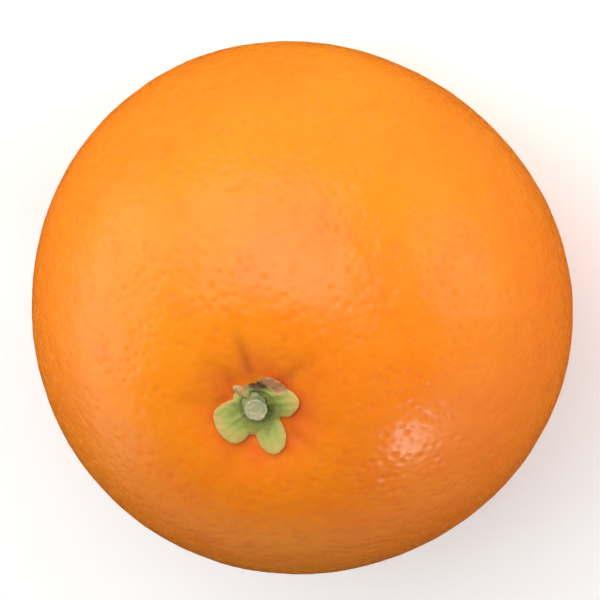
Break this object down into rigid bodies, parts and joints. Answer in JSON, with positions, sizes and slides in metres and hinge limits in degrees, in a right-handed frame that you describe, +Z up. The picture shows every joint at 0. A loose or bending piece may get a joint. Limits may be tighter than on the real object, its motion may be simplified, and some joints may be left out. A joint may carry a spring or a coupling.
{
  "type": "orange",
  "caption": "Whole orange as picked: oblate pored fruit, star-shaped calyx in a shallow dimple and a short cut stem stub, standing on a small flat spot.",
  "frame": {"origin": "centre of the small flat spot under the blossom end, which the fruit rests on", "axes": "+Z up along the growth axis, from the blossom end to the stem end; the broadest calyx lobe points between +X and +Y"},
  "size_m": [0.078, 0.0779, 0.0679],
  "materials": {
    "peel": "satin",
    "calyx": "matte",
    "stem": "matte"
  },
  "bodies": {
    "root": {"fruit": "peel", "calyx": "calyx", "stem": "stem"}
  },
  "joints": []
}
